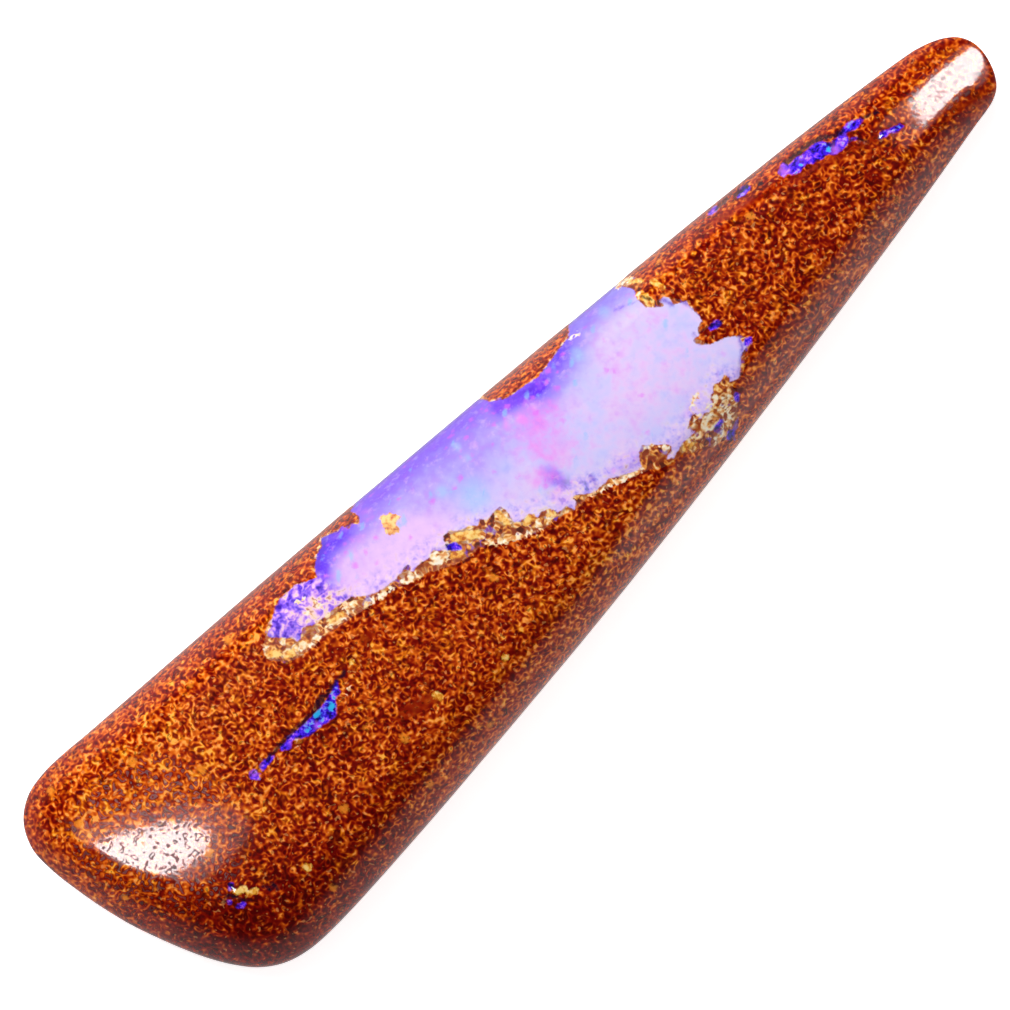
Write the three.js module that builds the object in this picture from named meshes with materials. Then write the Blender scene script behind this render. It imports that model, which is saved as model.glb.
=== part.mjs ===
// Polished boulder opal: one natural piece of brown ironstone with a seam of
// precious opal, cut as a long tapering freeform cabochon.
//
// Millimetres, +Z up. The stone lies on its flat ground back (Z = 0).
// +X runs along the stone towards its narrow tip, the domed face looks up +Z.
// The origin is the middle of the bounding box at the level of the back.

import * as THREE from "three";
import { mergeVertices } from "three/addons/utils/BufferGeometryUtils.js";

// ---- driving dimensions ---------------------------------------------------

const GIRDLE_Z = 1.45; // height of the widest line of the stone above its back
const BACK_INSET = 0.85; // how far the flat back stays inside the outline
const CROWN_PEAK = 4.9; // thickness at the top of the dome
const CROWN_PEAK_X = -4.0; // where along the stone the dome is thickest
const CROWN_SAG_X = 0.0034; // fall of the ridge per mm squared along X
const CROWN_SAG_Y = 0.034; // fall of the face per mm squared across Y
const END_ROUND_X = 13.0; // beyond this, either way, the face rounds down to its ends
const END_ROUND = 0.026; // extra fall there per mm squared
const SHOULDER_WIDE = 1.95; // width of the rounded shoulder at the broad end
const SHOULDER_TIP = 1.35; // width of the rounded shoulder at the tip
const SHOULDER_SKEW = 0.18; // the -Y shoulder is rounder than the +Y one
const SHOULDER_POWER = 2.1; // 2 is a true quarter round, more is fuller

// Outline of the stone in plan, counter-clockwise from the tip's -Y side.
const OUTLINE = [
  [18.26, -1.19], [18.72, -1.12], [19.13, -1.02], [19.48, -0.82],
  [19.73, -0.49], [19.9, -0.07], [19.99, 0.38], [19.95, 0.82],
  [19.75, 1.22], [19.42, 1.51], [19.04, 1.71], [18.66, 1.85],
  [18.26, 1.95], [15.03, 2.41], [9.86, 2.98], [4.69, 3.45],
  [-0.48, 3.89], [-5.65, 4.29], [-10.82, 4.65], [-14.37, 4.88],
  [-16.1, 4.99], [-17.1, 5.07], [-17.95, 5.08], [-18.82, 4.92],
  [-19.55, 4.42], [-19.96, 3.6], [-19.99, 2.6], [-19.86, 1.6],
  [-19.68, 0.65], [-19.43, -0.35], [-19.12, -1.25], [-18.76, -2.15],
  [-18.4, -2.92], [-17.98, -3.62], [-17.45, -4.27], [-16.75, -4.76],
  [-15.85, -5.02], [-14.37, -5.07], [-10.82, -4.86], [-5.65, -4.43],
  [-0.48, -3.9], [4.69, -3.26], [9.86, -2.54], [15.03, -1.75],
];
// Middle line that the outline is drawn in towards.
const SPINE_A = [-15.0, 0.0];
const SPINE_B = [18.3, 0.39];

// ---- facet counts ---------------------------------------------------------

const STEPS_PER_SPAN = 3; // outline steps between two outline points
const TOP_RINGS = [0.992, 0.97, 0.935, 0.89, 0.83, 0.76, 0.67, 0.55, 0.4, 0.24, 0.1];
const UNDER_STEPS = 6; // rings from the girdle down to the back

// ---- the surface ----------------------------------------------------------

const curve = new THREE.CatmullRomCurve3(
  OUTLINE.map(([x, y]) => new THREE.Vector3(x, y, 0)),
  true,
  "centripetal",
);
const N = OUTLINE.length * STEPS_PER_SPAN;
const outline = Array.from({ length: N }, (_, i) => {
  const p = curve.getPoint(i / N);
  return new THREE.Vector2(p.x, p.y);
});
const middleOfBox = new THREE.Box2().setFromPoints(outline).getCenter(new THREE.Vector2());
outline.forEach((p) => p.sub(middleOfBox));

// Nearest point of the spine, as a fraction of its length.
function onSpine(p) {
  const a = new THREE.Vector2(...SPINE_A);
  const b = new THREE.Vector2(...SPINE_B);
  const t = THREE.MathUtils.clamp((p.x - a.x) / (b.x - a.x), 0, 1);
  return a.lerp(b, t);
}

// Distance from a point inside the outline to the outline.
function toEdge(q) {
  let best = Infinity;
  for (let i = 0; i < N; i++) {
    const a = outline[i];
    const ab = outline[(i + 1) % N].clone().sub(a);
    const t = THREE.MathUtils.clamp(q.clone().sub(a).dot(ab) / ab.lengthSq(), 0, 1);
    best = Math.min(best, q.distanceTo(a.clone().addScaledVector(ab, t)));
  }
  return best;
}

// Height of the polished face: a low crown, rounded over at the shoulder.
function faceHeight(q) {
  const middle = onSpine(q).y;
  const crown =
    CROWN_PEAK -
    CROWN_SAG_X * (q.x - CROWN_PEAK_X) ** 2 -
    CROWN_SAG_Y * (q.y - middle) ** 2 -
    END_ROUND * Math.max(0, Math.abs(q.x) - END_ROUND_X) ** 2;
  const along = THREE.MathUtils.clamp((q.x + 17) / 36, 0, 1);
  const width =
    THREE.MathUtils.lerp(SHOULDER_WIDE, SHOULDER_TIP, along) *
    (1 - SHOULDER_SKEW * Math.tanh((q.y - middle) / 1.5));
  const u = Math.min(toEdge(q) / width, 1);
  const round = (1 - (1 - u) ** SHOULDER_POWER) ** (1 / SHOULDER_POWER);
  return GIRDLE_Z + (crown - GIRDLE_Z) * round;
}

// Rings of points from the flat back, round the girdle and up onto the face.
const rings = [];
for (let k = 0; k <= UNDER_STEPS; k++) {
  const turn = ((k / UNDER_STEPS) * Math.PI) / 2;
  const inset = BACK_INSET * (1 - Math.sin(turn));
  const z = GIRDLE_Z * (1 - Math.cos(turn));
  rings.push(
    outline.map((p) => {
      const s = onSpine(p);
      const q = p.clone().addScaledVector(s.clone().sub(p).normalize(), inset);
      return new THREE.Vector3(q.x, q.y, z);
    }),
  );
}
for (const r of TOP_RINGS) {
  rings.push(
    outline.map((p) => {
      const q = onSpine(p).lerp(p, r);
      return new THREE.Vector3(q.x, q.y, faceHeight(q));
    }),
  );
}

function closedStone() {
  const positions = rings.flat().flatMap((p) => [p.x, p.y, p.z]);
  const index = [];
  for (let k = 0; k + 1 < rings.length; k++) {
    for (let i = 0; i < N; i++) {
      const j = (i + 1) % N;
      const a = k * N + i;
      const b = k * N + j;
      const c = (k + 1) * N + j;
      const d = (k + 1) * N + i;
      index.push(a, b, c, a, c, d);
    }
  }
  const flat = (ring) => ring.map((p) => new THREE.Vector2(p.x, p.y));
  for (const [a, b, c] of THREE.ShapeUtils.triangulateShape(flat(rings[0]), [])) {
    index.push(a, c, b); // the back looks down
  }
  // The narrow loop left along the ridge is closed from the tip to the broad end,
  // stepping along its +Y and -Y sides together.
  const top = (rings.length - 1) * N;
  const ridge = rings.at(-1);
  const xs = ridge.map((p) => p.x);
  const tip = xs.indexOf(Math.max(...xs));
  const end = xs.indexOf(Math.min(...xs));
  let up = tip;
  let down = tip;
  while (true) {
    const nextUp = (up + 1) % N;
    const nextDown = (down + N - 1) % N;
    const upDone = up === end;
    const downDone = down === end;
    if (upDone && downDone) break;
    if (downDone || (!upDone && ridge[nextUp].x >= ridge[nextDown].x)) {
      if (nextUp !== down) index.push(top + up, top + nextUp, top + down);
      up = nextUp;
    } else {
      if (nextDown !== up) index.push(top + up, top + nextDown, top + down);
      down = nextDown;
    }
  }
  const geometry = new THREE.BufferGeometry();
  geometry.setAttribute("position", new THREE.Float32BufferAttribute(positions, 3));
  geometry.setIndex(index);
  const merged = mergeVertices(geometry, 1e-5);
  merged.computeVertexNormals();
  return merged;
}

// ---- the part -------------------------------------------------------------

const ironstone = new THREE.MeshStandardMaterial({
  color: new THREE.Color(0.5, 0.22, 0.06),
  roughness: 0.25,
  metalness: 0,
});

const stone = new THREE.Mesh(closedStone(), ironstone);
stone.name = "boulder_opal";

const part = new THREE.Group();
part.add(stone);

export default part;
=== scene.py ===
# Looks of the polished boulder opal: a fine mesh of the stone that stands for its
# plain solid, one procedural stone material, a pale floor, soft light and a camera.
#
# Lengths are worked out in millimetres and written to the meshes in metres.

import math

import bpy
import numpy as np
from mathutils import Matrix, Vector


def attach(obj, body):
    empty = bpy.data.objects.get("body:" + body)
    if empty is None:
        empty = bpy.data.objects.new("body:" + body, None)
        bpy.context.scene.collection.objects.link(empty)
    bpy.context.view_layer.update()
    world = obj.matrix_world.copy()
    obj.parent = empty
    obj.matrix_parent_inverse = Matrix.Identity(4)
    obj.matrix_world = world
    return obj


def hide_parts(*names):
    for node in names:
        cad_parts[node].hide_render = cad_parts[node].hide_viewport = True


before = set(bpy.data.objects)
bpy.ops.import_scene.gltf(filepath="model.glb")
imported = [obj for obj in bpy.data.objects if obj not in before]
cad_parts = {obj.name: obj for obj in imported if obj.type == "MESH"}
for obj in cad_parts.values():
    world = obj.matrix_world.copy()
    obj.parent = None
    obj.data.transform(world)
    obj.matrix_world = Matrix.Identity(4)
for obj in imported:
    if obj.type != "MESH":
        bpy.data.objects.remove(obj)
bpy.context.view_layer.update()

# ---- the stone's shape, as in the solid ------------------------------------

GIRDLE_Z = 1.45
BACK_INSET = 0.85
CROWN_PEAK, CROWN_PEAK_X = 4.9, -4.0
CROWN_SAG_X, CROWN_SAG_Y = 0.0034, 0.034
END_ROUND_X, END_ROUND = 13.0, 0.026
SHOULDER_WIDE, SHOULDER_TIP = 1.95, 1.35
SHOULDER_SKEW, SHOULDER_POWER = 0.18, 2.1
OUTLINE = [
    (18.26, -1.19), (18.72, -1.12), (19.13, -1.02), (19.48, -0.82),
    (19.73, -0.49), (19.9, -0.07), (19.99, 0.38), (19.95, 0.82),
    (19.75, 1.22), (19.42, 1.51), (19.04, 1.71), (18.66, 1.85),
    (18.26, 1.95), (15.03, 2.41), (9.86, 2.98), (4.69, 3.45),
    (-0.48, 3.89), (-5.65, 4.29), (-10.82, 4.65), (-14.37, 4.88),
    (-16.1, 4.99), (-17.1, 5.07), (-17.95, 5.08), (-18.82, 4.92),
    (-19.55, 4.42), (-19.96, 3.6), (-19.99, 2.6), (-19.86, 1.6),
    (-19.68, 0.65), (-19.43, -0.35), (-19.12, -1.25), (-18.76, -2.15),
    (-18.4, -2.92), (-17.98, -3.62), (-17.45, -4.27), (-16.75, -4.76),
    (-15.85, -5.02), (-14.37, -5.07), (-10.82, -4.86), (-5.65, -4.43),
    (-0.48, -3.9), (4.69, -3.26), (9.86, -2.54), (15.03, -1.75),
]
SPINE_A, SPINE_B = (-15.0, 0.0), (18.3, 0.39)

SHOULDER_RINGS, FLAT_RINGS, UNDER_RINGS, BACK_RINGS = 26, 32, 9, 3


def closed_spline(points, steps):
    """Closed centripetal Catmull-Rom curve through the points."""
    p = np.array(points, float)
    n = len(p)
    t = (np.arange(steps) / steps)[:, None]
    out = []
    for i in range(n):
        p0, p1, p2, p3 = p[i - 1], p[i], p[(i + 1) % n], p[(i + 2) % n]
        d0, d1, d2 = (math.hypot(*(b - a)) ** 0.5 for a, b in ((p0, p1), (p1, p2), (p2, p3)))
        t1 = ((p1 - p0) / d0 - (p2 - p0) / (d0 + d1) + (p2 - p1) / d1) * d1
        t2 = ((p2 - p1) / d1 - (p3 - p1) / (d1 + d2) + (p3 - p2) / d2) * d1
        out.append(p1 + t1 * t + (3 * (p2 - p1) - 2 * t1 - t2) * t**2 + (2 * (p1 - p2) + t1 + t2) * t**3)
    return np.vstack(out)


edge_line = closed_spline(OUTLINE, 40)
edge_line -= (edge_line.min(0) + edge_line.max(0)) / 2


def spine_y(x):
    t = np.clip((x - SPINE_A[0]) / (SPINE_B[0] - SPINE_A[0]), 0, 1)
    return SPINE_A[1] + (SPINE_B[1] - SPINE_A[1]) * t


def shoulder_width(q):
    along = np.clip((q[:, 0] + 17) / 36, 0, 1)
    side = np.tanh((q[:, 1] - spine_y(q[:, 0])) / 1.5)
    return (SHOULDER_WIDE + (SHOULDER_TIP - SHOULDER_WIDE) * along) * (1 - SHOULDER_SKEW * side)


def line_distance(q, line, closed=False):
    """Distance from each point to a line of straight pieces."""
    a = np.asarray(line, float)
    b = np.roll(a, -1, 0)
    if not closed:
        a, b = a[:-1], b[:-1]
    ab = b - a
    length = np.maximum((ab**2).sum(1), 1e-12)
    best = np.full(len(q), np.inf)
    for start in range(0, len(q), 3000):
        w = q[start : start + 3000, None, :] - a[None]
        t = np.clip((w * ab[None]).sum(2) / length, 0, 1)
        w -= t[..., None] * ab[None]
        best[start : start + 3000] = np.sqrt((w**2).sum(2).min(1))
    return best


def face_height(q):
    crown = (
        CROWN_PEAK
        - CROWN_SAG_X * (q[:, 0] - CROWN_PEAK_X) ** 2
        - CROWN_SAG_Y * (q[:, 1] - spine_y(q[:, 0])) ** 2
        - END_ROUND * np.maximum(0, np.abs(q[:, 0]) - END_ROUND_X) ** 2
    )
    u = np.minimum(line_distance(q, edge_line[::2], True) / shoulder_width(q), 1)
    rounded = (1 - (1 - u) ** SHOULDER_POWER) ** (1 / SHOULDER_POWER)
    return GIRDLE_Z + (crown - GIRDLE_Z) * rounded


def resample(line, count):
    """Points at even steps along a line, both ends kept."""
    s = np.concatenate([[0], np.cumsum(np.hypot(*np.diff(line, axis=0).T))])
    at = np.linspace(0, s[-1], count)
    return np.stack([np.interp(at, s, line[:, i]) for i in (0, 1)], 1)


# Stations along the stone, closest where the opal and the veins are.
stations = np.concatenate(
    [
        np.arange(-15.0, -10.4, 0.095),
        np.arange(-10.4, 8.4, 0.052),
        np.arange(8.4, 18.25, 0.075),
        [18.3],
    ]
)
M = len(stations)

# Upper (+Y) and lower (-Y) side of the outline as functions of x, and the two ends.
n_edge = len(edge_line)
tip_at = int(edge_line[:, 0].argmax())
end_at = int(edge_line[:, 0].argmin())
ring = np.roll(edge_line, -tip_at, 0)  # starts at the tip, goes along +Y
half = (end_at - tip_at) % n_edge
upper, lower = ring[: half + 1], np.vstack([ring[half:], ring[:1]])
y_up = np.interp(stations, upper[::-1, 0], upper[::-1, 1])
y_low = np.interp(stations, lower[:, 0], lower[:, 1])
tip_line = np.vstack(
    [
        [(stations[-1], y_low[-1])],
        lower[lower[:, 0] > stations[-1]],
        upper[upper[:, 0] > stations[-1]],
        [(stations[-1], y_up[-1])],
    ]
)
end_line = np.vstack(
    [
        [(stations[0], y_up[0])],
        upper[upper[:, 0] < stations[0]],
        lower[lower[:, 0] < stations[0]],
        [(stations[0], y_low[0])],
    ]
)
tip_points = resample(tip_line, 74)[1:-1]
end_points = resample(end_line, 170)[1:-1]
edge = np.vstack(
    [
        np.stack([stations, y_low], 1),
        tip_points,
        np.stack([stations, y_up], 1)[::-1],
        end_points,
    ]
)
spine_of = np.concatenate(
    [np.arange(M), np.full(len(tip_points), M - 1), np.arange(M)[::-1], np.zeros(len(end_points), int)]
)
spine = np.stack([stations, spine_y(stations)], 1)
C = len(edge)  # columns round the stone

inward = spine[spine_of] - edge
reach = np.hypot(*inward.T)
inward /= reach[:, None]
shoulder = np.minimum(shoulder_width(edge + inward * 0.5), 0.82 * reach)

# Rings from the middle of the back, out to its edge, round the girdle, over the
# shoulder and in to the ridge. Each ring is C points; the first and the last are lines.
rings, unrolled = [], []
back_edge = edge + inward * BACK_INSET
for k in range(1, BACK_RINGS + 1):
    q = spine[spine_of] + (back_edge - spine[spine_of]) * k / BACK_RINGS
    rings.append(np.column_stack([q, np.zeros(C)]))
    unrolled.append(edge - inward * (2.2 + (np.hypot(*(back_edge - q).T))[:, None]))
for k in range(1, UNDER_RINGS):
    turn = k / UNDER_RINGS * math.pi / 2
    q = edge + inward * BACK_INSET * (1 - math.sin(turn))
    rings.append(np.column_stack([q, np.full(C, GIRDLE_Z * (1 - math.cos(turn)))]))
    unrolled.append(edge - inward * (2.2 * (1 - k / UNDER_RINGS)))
for k in range(SHOULDER_RINGS + FLAT_RINGS):
    if k <= SHOULDER_RINGS:
        d = shoulder * (1 - math.cos(k / SHOULDER_RINGS * math.pi / 2))
    else:
        d = shoulder + (reach - shoulder) * (k - SHOULDER_RINGS) / FLAT_RINGS
    q = edge + inward * d[:, None]
    z = np.full(C, GIRDLE_Z) if k == 0 else face_height(q)
    rings.append(np.column_stack([q, z]))
    unrolled.append(q)
R = len(rings)
first_face_ring = BACK_RINGS + UNDER_RINGS - 1
ridge = np.column_stack([spine, face_height(spine)])
keel = np.column_stack([spine, np.zeros(M)])
xyz = np.vstack(rings + [ridge, keel])
plan = np.vstack(unrolled + [spine, spine])  # where the markings are looked up
ridge_at, keel_at = R * C, R * C + M

col = np.arange(C)
nxt = (col + 1) % C
quads = []
for k in range(R - 1):
    quads.append(np.stack([k * C + col, k * C + nxt, (k + 1) * C + nxt, (k + 1) * C + col], 1))
quads = np.vstack(quads)
back_quads = (BACK_RINGS - 1) * C  # the first rows of quads lie on the back
last = (R - 1) * C
top_faces = [
    (last + i, last + j, ridge_at + spine_of[j], ridge_at + spine_of[i])
    if spine_of[i] != spine_of[j]
    else (last + i, last + j, ridge_at + spine_of[i])
    for i, j in zip(col, nxt)
]
keel_faces = [
    (j, i, keel_at + spine_of[i], keel_at + spine_of[j])
    if spine_of[i] != spine_of[j]
    else (j, i, keel_at + spine_of[i])
    for i, j in zip(col, nxt)
]

# ---- markings ---------------------------------------------------------------
# Places are given in the picture's pixels and turned into the stone's own plan.

TURN = math.radians(44.66)
MM_PER_PX = 0.0323076
CAMERA_FAR = 800.0  # mm from the girdle to the camera


def place(points, height=4.6):
    p = np.atleast_2d(np.asarray(points, float)) - (479.26, 557.40)
    u = p @ (math.cos(TURN), -math.sin(TURN))
    v = p @ (-math.sin(TURN), -math.cos(TURN))
    q = np.column_stack([(u - 94.85) * MM_PER_PX, (v + 3.3) * MM_PER_PX])
    if height <= GIRDLE_Z:
        return q
    middle = place([(504.5, 504.5)], 0)
    return middle + (q - middle) * (1 - (height - GIRDLE_Z) / CAMERA_FAR)


def inside(q, outline):
    a = np.asarray(outline, float)
    b = np.roll(a, -1, 0)
    odd = np.zeros(len(q), bool)
    for (x0, y0), (x1, y1) in zip(a, b):
        if y0 != y1:
            hit = (y0 > q[:, 1]) != (y1 > q[:, 1])
            odd ^= hit & (q[:, 0] < (x1 - x0) * (q[:, 1] - y0) / (y1 - y0) + x0)
    return odd


def depth_in(q, outline_px):
    """Signed distance in mm, positive inside a closed outline."""
    o = place(outline_px)
    d = line_distance(q, o, True)
    return np.where(inside(q, o), d, -d)


def strokes(q, items):
    """Signed distance to the nearest of some brush strokes: (points, full width in pixels)."""
    best = np.full(len(q), -9.0)
    for points, width in items:
        line = place(points)
        d = np.hypot(*(q - line[0]).T) if len(line) == 1 else line_distance(q, line)
        best = np.maximum(best, width * MM_PER_PX / 2 - d)
    return best


def clouds(q, items):
    """Soft spots: (x, y, radius in pixels, strength)."""
    total = np.zeros(len(q))
    for x, y, radius, strength in items:
        d2 = ((q - place([(x, y)])[0]) ** 2).sum(1)
        total += strength * np.exp(-d2 / (radius * MM_PER_PX) ** 2)
    return total


def bands(q, items):
    """Soft bands: (points, reach in pixels, strength)."""
    total = np.zeros(len(q))
    for points, reach_px, strength in items:
        line = place(points)
        d = np.hypot(*(q - line[0]).T) if len(line) == 1 else line_distance(q, line)
        total += strength * np.exp(-((d / (reach_px * MM_PER_PX)) ** 2))
    return total


OPAL = [
    (612, 279), (617, 284), (633, 288), (635, 296), (645, 307), (662, 306), (664, 304),
    (659, 301), (663, 296), (670, 298), (672, 304), (686, 301), (702, 320), (697, 328),
    (699, 335), (693, 339), (696, 344), (710, 344), (728, 336), (739, 336), (742, 342),
    (747, 338), (750, 339), (741, 354), (740, 375), (737, 379), (729, 381), (729, 376),
    (724, 374), (720, 381), (713, 385), (713, 392), (709, 397), (713, 404), (709, 412),
    (704, 412), (701, 419), (698, 418), (697, 413), (691, 414), (687, 429), (695, 431),
    (681, 444), (673, 458), (664, 459), (671, 452), (671, 446), (668, 444), (642, 445),
    (638, 452), (641, 469), (609, 478), (594, 492), (573, 495), (572, 498), (576, 502),
    (574, 509), (566, 506), (557, 512), (549, 508), (541, 511), (537, 517), (528, 513),
    (521, 520), (514, 522), (506, 510), (499, 506), (486, 520), (479, 518), (478, 525),
    (470, 525), (456, 531), (449, 530), (443, 535), (443, 542), (460, 545), (461, 549),
    (432, 550), (428, 558), (416, 565), (414, 570), (409, 571), (410, 565), (407, 564),
    (394, 580), (378, 591), (367, 595), (351, 596), (336, 606), (324, 616), (314, 624),
    (302, 627), (300, 638), (297, 641), (291, 637), (269, 637), (266, 632), (272, 625),
    (270, 622), (279, 599), (294, 585), (317, 577), (314, 570), (316, 555), (321, 546),
    (320, 537), (338, 530), (341, 526), (348, 528), (352, 523), (356, 524), (359, 521),
    (359, 516), (350, 510), (352, 502), (348, 476), (358, 451), (384, 440), (394, 413),
    (417, 399), (443, 398), (464, 395), (478, 397), (489, 401), (506, 398), (538, 376),
    (568, 336), (569, 327), (567, 310), (567, 298), (570, 279), (592, 278),
]
# The crumbly rim between the opal and the rock, with the opal itself.
RIM = [
    (630, 276), (645, 281), (640, 292), (650, 303), (664, 296), (690, 301), (703, 321),
    (694, 338), (712, 344), (730, 335), (745, 336), (752, 341), (744, 356), (743, 374),
    (734, 385), (737, 396), (738, 408), (738, 427), (735, 440), (722, 439), (712, 447),
    (703, 446), (697, 452), (685, 453), (662, 468), (653, 469), (642, 472), (630, 477),
    (612, 485), (600, 491), (588, 496), (577, 508), (567, 512), (553, 522), (537, 533),
    (526, 537), (507, 542), (487, 545), (478, 547), (469, 556), (455, 564), (445, 567),
    (427, 573), (418, 579), (400, 585), (390, 588), (361, 611), (344, 622), (327, 634),
    (310, 648), (298, 658), (286, 662), (268, 660), (262, 650), (264, 640), (266, 630),
    (271, 618), (278, 599), (293, 585), (316, 577), (313, 568), (316, 550), (319, 536),
    (340, 527), (352, 523), (358, 518), (350, 508), (346, 502), (341, 474), (352, 445),
    (380, 434), (388, 406), (413, 392), (442, 391), (462, 388), (480, 393), (489, 400),
    (506, 397), (538, 375), (567, 335), (569, 327), (561, 308), (560, 295), (565, 272),
    (590, 271), (608, 262),
]
CRUMBLE_LINE = [
    (270, 645), (300, 645), (326, 622), (360, 602), (392, 583), (420, 565), (445, 548),
    (470, 533), (500, 522), (530, 520), (560, 510), (585, 495), (612, 481), (642, 462),
    (670, 452), (692, 428), (712, 400), (724, 380), (733, 382),
]
VEINS = [
    [(860, 117), (863, 118), (857, 127), (846, 132), (846, 135), (849, 138), (857, 136),
     (857, 139), (848, 141), (847, 144), (837, 153), (825, 154), (823, 158), (816, 160),
     (813, 163), (806, 163), (800, 171), (792, 174), (788, 172), (783, 176), (778, 172),
     (782, 162), (789, 164), (796, 155), (801, 155), (814, 142), (821, 140), (831, 142),
     (837, 136), (840, 130), (845, 124), (851, 120)],
    [(900, 123), (904, 125), (897, 131), (890, 131), (886, 136), (880, 137), (880, 131), (889, 128)],
    [(744, 184), (750, 185), (750, 188), (744, 194), (737, 197), (737, 194), (741, 186)],
    [(716, 204), (718, 206), (717, 209), (711, 214), (708, 214), (708, 211)],
    [(714, 320), (719, 320), (722, 323), (716, 328), (710, 330), (708, 327)],
    [(745, 337), (751, 337), (751, 342), (746, 346), (743, 344)],
    [(735, 392), (739, 393), (739, 400), (736, 402), (734, 397)],
    [(720, 419), (724, 419), (724, 422), (719, 429), (715, 432), (714, 428)],
    [(733, 429), (735, 430), (734, 436), (731, 440), (727, 439), (728, 431)],
    [(335, 680), (337, 680), (338, 688), (340, 692), (335, 697), (336, 715), (330, 719),
     (327, 722), (322, 724), (311, 734), (300, 738), (294, 738), (291, 741), (291, 747),
     (289, 749), (280, 750), (279, 746), (285, 742), (287, 736), (296, 730), (304, 723),
     (316, 711), (321, 706), (327, 698), (331, 691)],
    [(269, 755), (274, 755), (274, 757), (267, 765), (262, 771), (259, 766), (262, 761)],
    [(253, 769), (255, 769), (260, 777), (259, 779), (250, 779), (249, 772)],
    [(229, 883), (232, 883), (233, 885), (230, 890), (227, 889)],
    [(226, 900), (231, 900), (231, 904), (227, 904)],
    [(241, 902), (246, 902), (243, 908), (235, 908), (236, 905)],
    [(445, 544), (455, 542), (461, 545), (461, 549), (447, 550)],
]
# Dark bits beside the veins, mostly on their upper side.
DARK = [
    ([(338, 677), (331, 688), (323, 697), (314, 709), (302, 722), (290, 733), (280, 744), (268, 756)], 5),
    ([(322, 697), (316, 706)], 8), ([(264, 762), (250, 775)], 3), ([(344, 671), (341, 676)], 5),
    ([(787, 161), (797, 152), (812, 140), (824, 136), (836, 134), (842, 128)], 6),
    ([(861, 117), (872, 113), (878, 110)], 4), ([(857, 138), (868, 141)], 3.5),
    ([(760, 182)], 6), ([(735, 194), (746, 184)], 5), ([(715, 208), (728, 197)], 4),
    ([(360, 618), (372, 614), (384, 611)], 2.6), ([(240, 898), (226, 895), (224, 902)], 4), ([(228, 884), (233, 889)], 4),
    ([(262, 886), (270, 889)], 4), ([(242, 900), (252, 901)], 3),
    ([(272, 884), (277, 888)], 5), ([(699, 332), (707, 326), (722, 321)], 3.2),
    ([(642, 296), (650, 299)], 3.6), ([(496, 511)], 3), ([(463, 562), (470, 557)], 3),
]
# Violet along the clean edge of the opal.
VIOLET = [
    ([(739, 338), (742, 346), (741, 358), (740, 368), (737, 376)], 5),
    ([(660, 299), (665, 300), (672, 304)], 5), ([(681, 301), (687, 303), (692, 308)], 4.5),
    ([(693, 333), (697, 338), (700, 343)], 3.2), ([(727, 374), (731, 381)], 5),
    ([(269, 632), (272, 622), (275, 611), (280, 600), (287, 592), (295, 586)], 10),
    ([(297, 586), (306, 582)], 5), ([(316, 570), (318, 557), (322, 546), (322, 537)], 8),
    ([(324, 534), (338, 531)], 5), ([(508, 399), (522, 393), (533, 386)], 7),
    ([(614, 309), (625, 305), (632, 302), (641, 298)], 2.4), ([(634, 287), (638, 296)], 4),
    ([(622, 470), (634, 464), (640, 456)], 8),
    ([(590, 476), (596, 486)], 6), ([(434, 548), (446, 547)], 5), ([(400, 578), (408, 571)], 4),
    ([(276, 630), (283, 637), (292, 636)], 9), ([(664, 455), (672, 448)], 4),
    ([(428, 574), (420, 577)], 4),
]
VEIL = [  # blue-violet that fades in from lines: (points, reach in pixels, strength)
    ([(340, 516), (400, 463), (440, 428), (492, 388)], 66, 0.72),
    ([(340, 516), (400, 463), (440, 428), (492, 388)], 22, 0.25),
    ([(498, 406), (518, 397), (536, 386)], 12, 0.85), ([(540, 382), (562, 352)], 16, 0.40),
    ([(556, 345), (586, 308), (628, 270)], 30, 0.72), ([(566, 350), (540, 395)], 20, 0.25),
    ([(318, 574), (320, 548), (336, 530)], 15, 0.85), ([(330, 566), (346, 546)], 24, 0.35),
    ([(270, 632), (284, 604), (300, 588)], 15, 1.0), ([(276, 632), (302, 636)], 11, 0.9),
    ([(553, 478)], 9, 0.7), ([(566, 486), (548, 470)], 8, 0.4), ([(640, 425)], 26, 0.14),
    ([(697, 405)], 18, 0.35), ([(322, 590)], 16, 0.35), ([(470, 470)], 34, 0.16),
    ([(612, 474), (640, 458)], 9, 0.5),
]
PURPLE = [
    ([(335, 516), (400, 460), (440, 424), (488, 382)], 20, 0.9), ([(505, 400), (538, 379)], 10, 0.5),
    ([(560, 330), (600, 290), (632, 262)], 12, 0.3),
]
ROSE = [  # pale pink
    (375, 562, 38, 1.0), (415, 545, 30, 0.8), (440, 527, 26, 0.55), (350, 578, 24, 0.7),
    (650, 350, 55, 0.3), (610, 430, 40, 0.15), (690, 360, 30, 0.2), (480, 512, 26, 0.25),
    (560, 420, 26, 0.3), (405, 520, 16, 0.3), (640, 400, 40, 0.25), (312, 603, 15, 1.0),
]
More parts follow.
